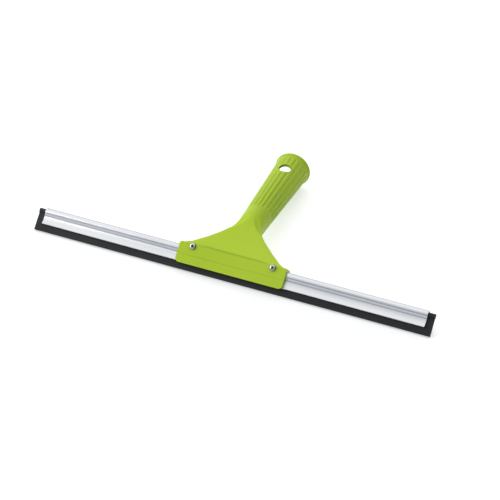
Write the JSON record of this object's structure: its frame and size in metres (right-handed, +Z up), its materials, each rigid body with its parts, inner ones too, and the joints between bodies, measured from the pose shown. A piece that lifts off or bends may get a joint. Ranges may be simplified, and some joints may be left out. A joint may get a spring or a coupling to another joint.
{
  "type": "window cleaning squeegee",
  "caption": "Window cleaning squeegee: rubber wiper blade in an aluminium channel on a one-piece plastic handle with a bell-shaped neck, fluted hollow grip and hanging hole.",
  "frame": {"origin": "centre of the bounding box at the floor the tool lies on", "axes": "+X along the channel and blade, +Y from the blade towards the open mouth of the grip, whose axis falls by 3.6 degrees towards its mouth, +Z up"},
  "size_m": [0.35, 0.1504, 0.0332],
  "materials": {
    "lime_plastic": "satin moulded polypropylene",
    "aluminium": "satin extruded",
    "rubber": "soft matt",
    "screw_steel": "bright zinc plated"
  },
  "bodies": {
    "handle": {"handle": "lime_plastic", "channel": "aluminium", "screw_left": "screw_steel", "screw_right": "screw_steel"},
    "blade": {"blade": "rubber"}
  },
  "joints": [
    {"name": "blade_slide", "type": "slide", "parent": "handle", "child": "blade", "axis": [1, 0, 0], "range_m": [-0.35, 0.35]}
  ]
}
